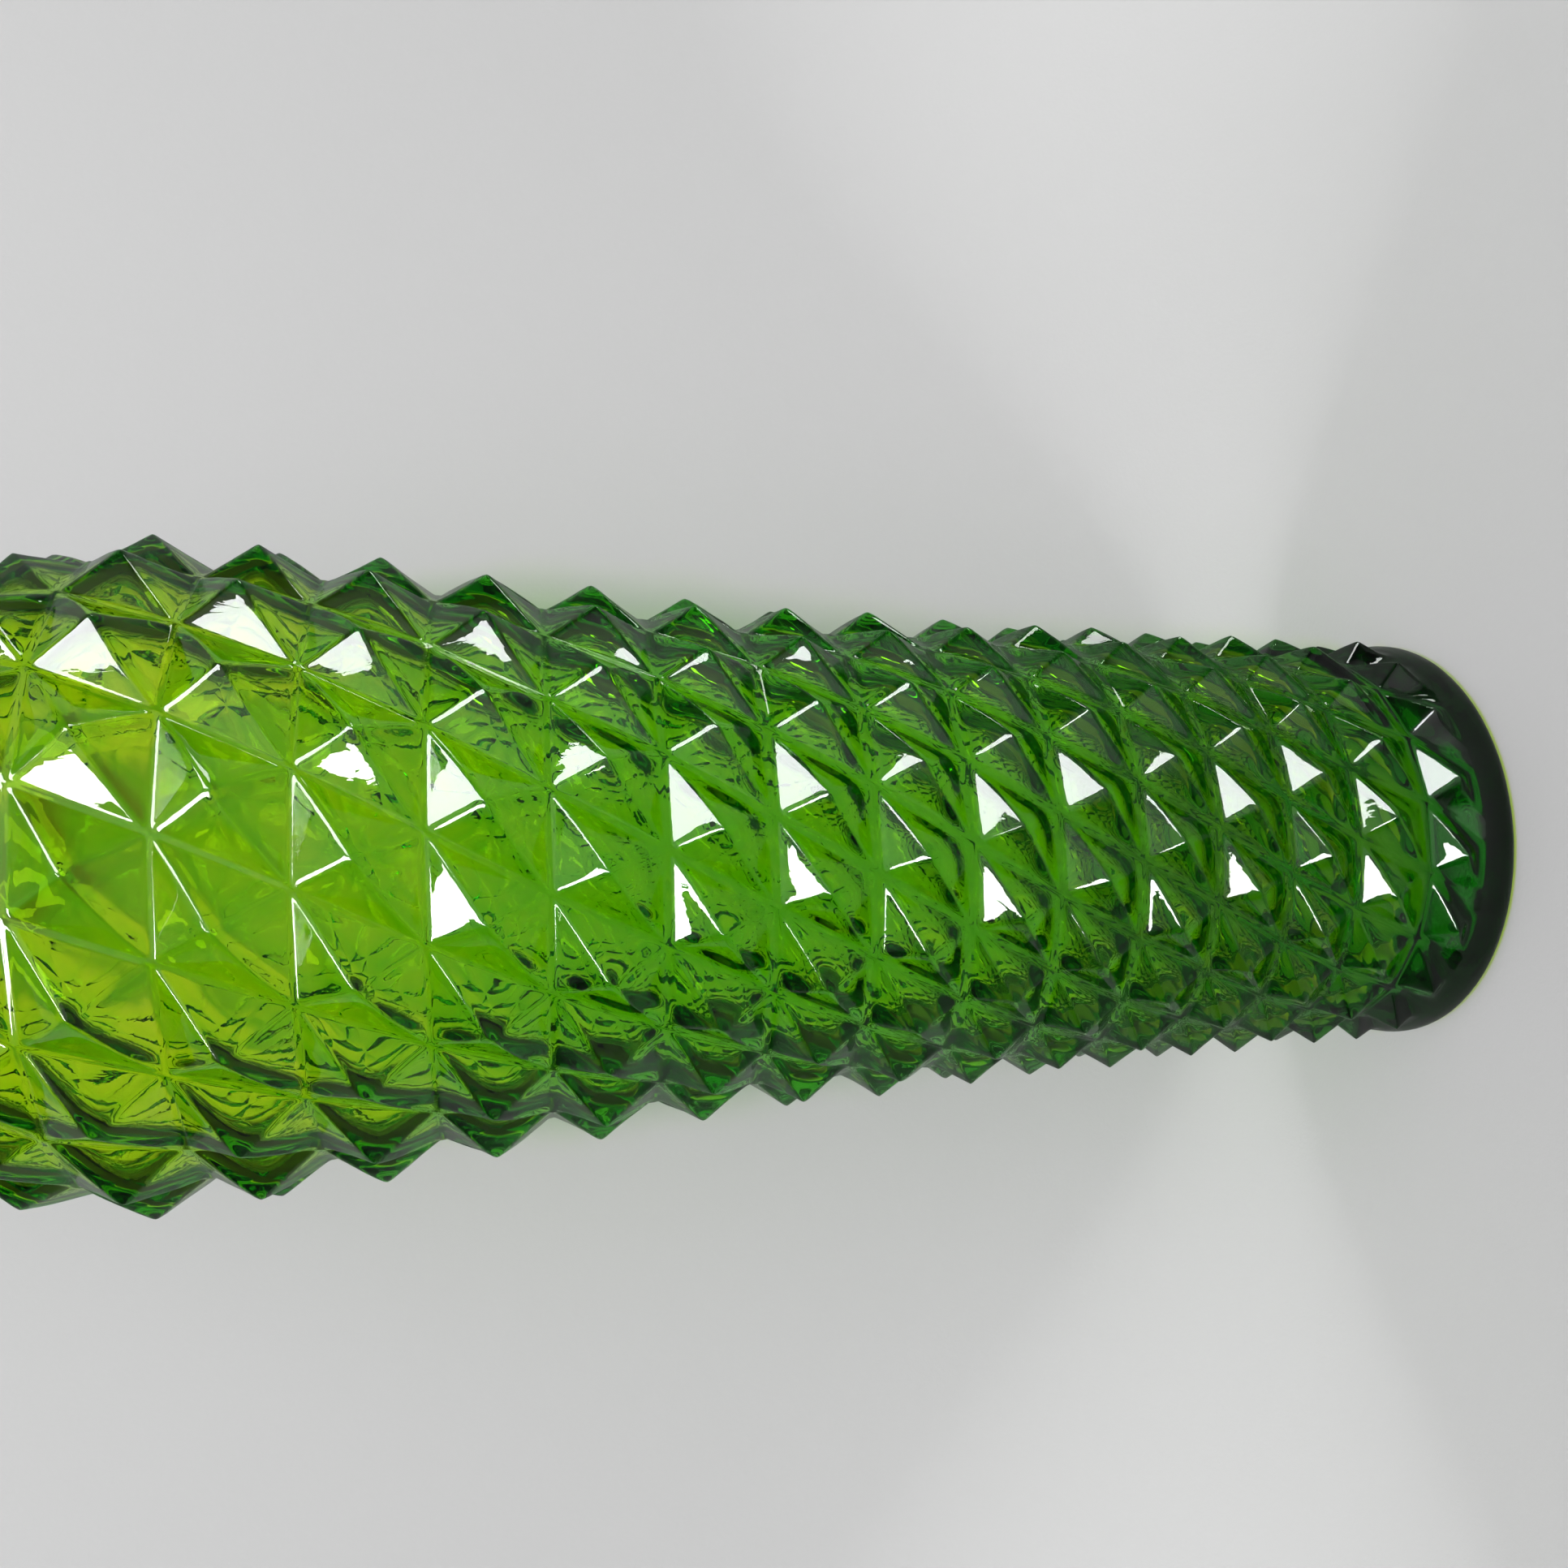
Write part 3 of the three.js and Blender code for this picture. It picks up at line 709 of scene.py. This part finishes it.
def fade_far(start, end, centre, most):
    """A smooth factor from 0 within start metres of a centre to most beyond end."""
    def make(nt, position):
        d = nt.nodes.new("ShaderNodeVectorMath")
        d.operation = "DISTANCE"
        nt.links.new(position, d.inputs[0])
        d.inputs[1].default_value = centre
        r = nt.nodes.new("ShaderNodeMapRange")
        r.interpolation_type = "SMOOTHSTEP"
        r.inputs["From Min"].default_value = start
        r.inputs["From Max"].default_value = end
        r.inputs["To Max"].default_value = most
        nt.links.new(d.outputs["Value"], r.inputs["Value"])
        return r.outputs["Result"]
    return make


def grid_object(name, rows):
    """A sheet from rows of points, all rows of one length."""
    n = len(rows[0])
    verts = [tuple(p) for row in rows for p in row]
    faces = [[i * n + j, i * n + j + 1, (i + 1) * n + j + 1, (i + 1) * n + j]
             for i in range(len(rows) - 1) for j in range(n - 1)]
    mesh = bpy.data.meshes.new(name)
    mesh.from_pydata(verts, [], faces)
    mesh.update()
    mesh.shade_smooth()
    ob = bpy.data.objects.new(name, mesh)
    scene.collection.objects.link(ob)
    return ob


WALL_Y = 0.0664
# painted shade and painted light on the paper, in what the glass mirrors and shows through it
DIM_FLOOR, DIM_SHEET = 0.70, 0.6
PAST = (0.076, 0.112, 0.97)
UNDER_BASE, BEHIND = 0.14, 0.17
SHADE_RIGHT, SHADE_LEFT = 0.45, 0.10


def build_stage():
    """Pale paper. In front of the bottle it is a floor that turns up into a sheet right behind it, seen from its front only.
    A plain floor of the same paper goes on behind."""
    mat, nt, out, b = paper_material("paper_floor", (0.53, 0.53, 0.53), (0.56, 0.56, 0.56), fade_far(0.28, 0.85, (0, 0.06, 0.14), 0.9))
    nt.links.new(b.outputs["BSDF"], out.inputs["Surface"])
    far = 2.4
    rows = [[(x, y, -0.0006) for x in np.linspace(-far, far, 25)] for y in (-0.4, -0.2, 0.0, 0.2, 0.5, 1.0, far)]
    rear = grid_object("floor_behind", rows)
    rear.data.materials.append(mat)

    mat, nt, out, b = paper_material("paper_sheet", (0.53, 0.53, 0.53), (0.56, 0.56, 0.56), fade_far(0.28, 0.85, (0, 0.06, 0.14), 0.9))
    geo = nt.nodes.new("ShaderNodeNewGeometry")
    clear = nt.nodes.new("ShaderNodeBsdfTransparent")
    mix = nt.nodes.new("ShaderNodeMixShader")
    nt.links.new(geo.outputs["Backfacing"], mix.inputs["Fac"])
    nt.links.new(b.outputs["BSDF"], mix.inputs[1])
    nt.links.new(clear.outputs["BSDF"], mix.inputs[2])
    nt.links.new(mix.outputs["Shader"], out.inputs["Surface"])
    xs = np.sign(np.linspace(-1, 1, 121)) * np.abs(np.linspace(-1, 1, 121)) ** 1.8 * far
    t = np.clip((np.abs(xs) - 0.035) / 0.20, 0, 1)
    cove = 0.020 + 0.13 * t * t * (3 - 2 * t)
    rows = [[(x, y, -0.0003) for x in xs] for y in (-far, -1.2, -0.6, -0.3, -0.15)]
    for a in np.linspace(0, math.pi / 2, 17):
        rows.append([(x, WALL_Y - c + c * math.sin(a), c * (1 - math.cos(a)) - 0.0003) for x, c in zip(xs, cove)])
    for k in np.linspace(0.03, 1, 30):
        rows.append([(x, WALL_Y, c + (1.5 - c) * k) for x, c in zip(xs, cove)])
    sheet = grid_object("paper_sheet", rows)
    sheet.data.materials.append(mat)


build_stage()

# A dim room that is lighter overhead, which for the lying bottle of the photograph is towards -Y.
world = bpy.data.worlds.new("world")
scene.world = world
world.use_nodes = True
wt = world.node_tree
wc = wt.nodes.new("ShaderNodeTexCoord")
wd = wt.nodes.new("ShaderNodeVectorMath")
wd.operation = "DOT_PRODUCT"
wd.inputs[1].default_value = Vector((0.15, -0.85, 0.5)).normalized()
wt.links.new(wc.outputs["Generated"], wd.inputs[0])
wr = wt.nodes.new("ShaderNodeValToRGB")
for pos, v in ((0.25, 0.09), (0.55, 0.05)):
    e = wr.color_ramp.elements.new(pos)
    e.color = (v * 0.97, v * 0.985, v, 1)
wr.color_ramp.elements[0].color = (0.02, 0.02, 0.02, 1)
wr.color_ramp.elements[3].color = (1.0, 1.0, 1.0, 1)
wt.links.new(wd.outputs["Value"], wr.inputs["Fac"])
# the camera sees a plain pale backdrop past the edge of the paper
wp = wt.nodes.new("ShaderNodeLightPath")
wm = wt.nodes.new("ShaderNodeMix")
wm.data_type = "RGBA"
wt.links.new(wp.outputs["Is Camera Ray"], wm.inputs["Factor"])
# and the room is darker in what comes through the glass
wg = wt.nodes.new("ShaderNodeMapRange")
wg.inputs["To Min"].default_value = 1.0
wg.inputs["To Max"].default_value = 0.12
wt.links.new(wp.outputs["Transmission Depth"], wg.inputs["Value"])
ws = wt.nodes.new("ShaderNodeVectorMath")
ws.operation = "SCALE"
wt.links.new(wr.outputs["Color"], ws.inputs[0])
wt.links.new(wg.outputs["Result"], ws.inputs["Scale"])
wt.links.new(ws.outputs["Vector"], wm.inputs["A"])
wm.inputs["B"].default_value = (0.56, 0.56, 0.56, 1)
wt.links.new(wm.outputs["Result"], wt.nodes["Background"].inputs["Color"])
wt.nodes["Background"].inputs["Strength"].default_value = 1.0


def softbox(name, az, el, roll, distance, width, height, radiance, colour, lights_paper, target=(0, 0, 0.16)):
    """An area light. az is from -Y towards +X, el towards +Z, seen from the target, and roll leans its top towards greater az.
    One that lights paper is a diffuse light only, and any other shows only in gloss and through glass."""
    data = bpy.data.lights.new(name, "AREA")
    data.shape = "RECTANGLE"
    data.size, data.size_y = width * distance, height * distance
    data.energy = 4 * radiance * data.size * data.size_y
    data.color = colour
    ob = bpy.data.objects.new(name, data)
    a, e = math.radians(az), math.radians(el)
    d = Vector((math.sin(a) * math.cos(e), -math.cos(a) * math.cos(e), math.sin(e)))
    ob.location = Vector(target) + d * distance
    ob.rotation_euler = (d.to_track_quat("Z", "Y") @ Quaternion((0, 0, 1), -math.radians(roll))).to_euler()
    ob.visible_camera = False
    ob.visible_diffuse = lights_paper
    ob.visible_glossy = not lights_paper
    ob.visible_transmission = not lights_paper
    # a light that shows is softer in what comes through the glass
    data.use_nodes = True
    ln = data.node_tree
    emit = [n for n in ln.nodes if n.type == "EMISSION"][0]
    way = ln.nodes.new("ShaderNodeLightPath")
    inside = ln.nodes.new("ShaderNodeMapRange")
    inside.inputs["To Min"].default_value = 1.0
    inside.inputs["To Max"].default_value = 1.0 if lights_paper else 0.22
    ln.links.new(way.outputs["Transmission Depth"], inside.inputs["Value"])
    ln.links.new(inside.outputs["Result"], emit.inputs["Strength"])
    scene.collection.objects.link(ob)
    return ob


softbox("window_right", 34.4, 42, 28, 3.0, 0.42, 0.70, 15.0, (0.97, 0.98, 1.0), False)
softbox("window_left", -27.5, 46.2, 19, 3.0, 0.20, 0.66, 22.0, (1.0, 1.0, 0.99), False)
softbox("window_low", 85, -1, 0, 1.0, 0.20, 0.24, 8.0, (1.0, 1.0, 1.0), False)
softbox("key", -2, 45, 0, 1.8, 0.17, 0.17, 73.0, (1.0, 1.0, 1.0), True)
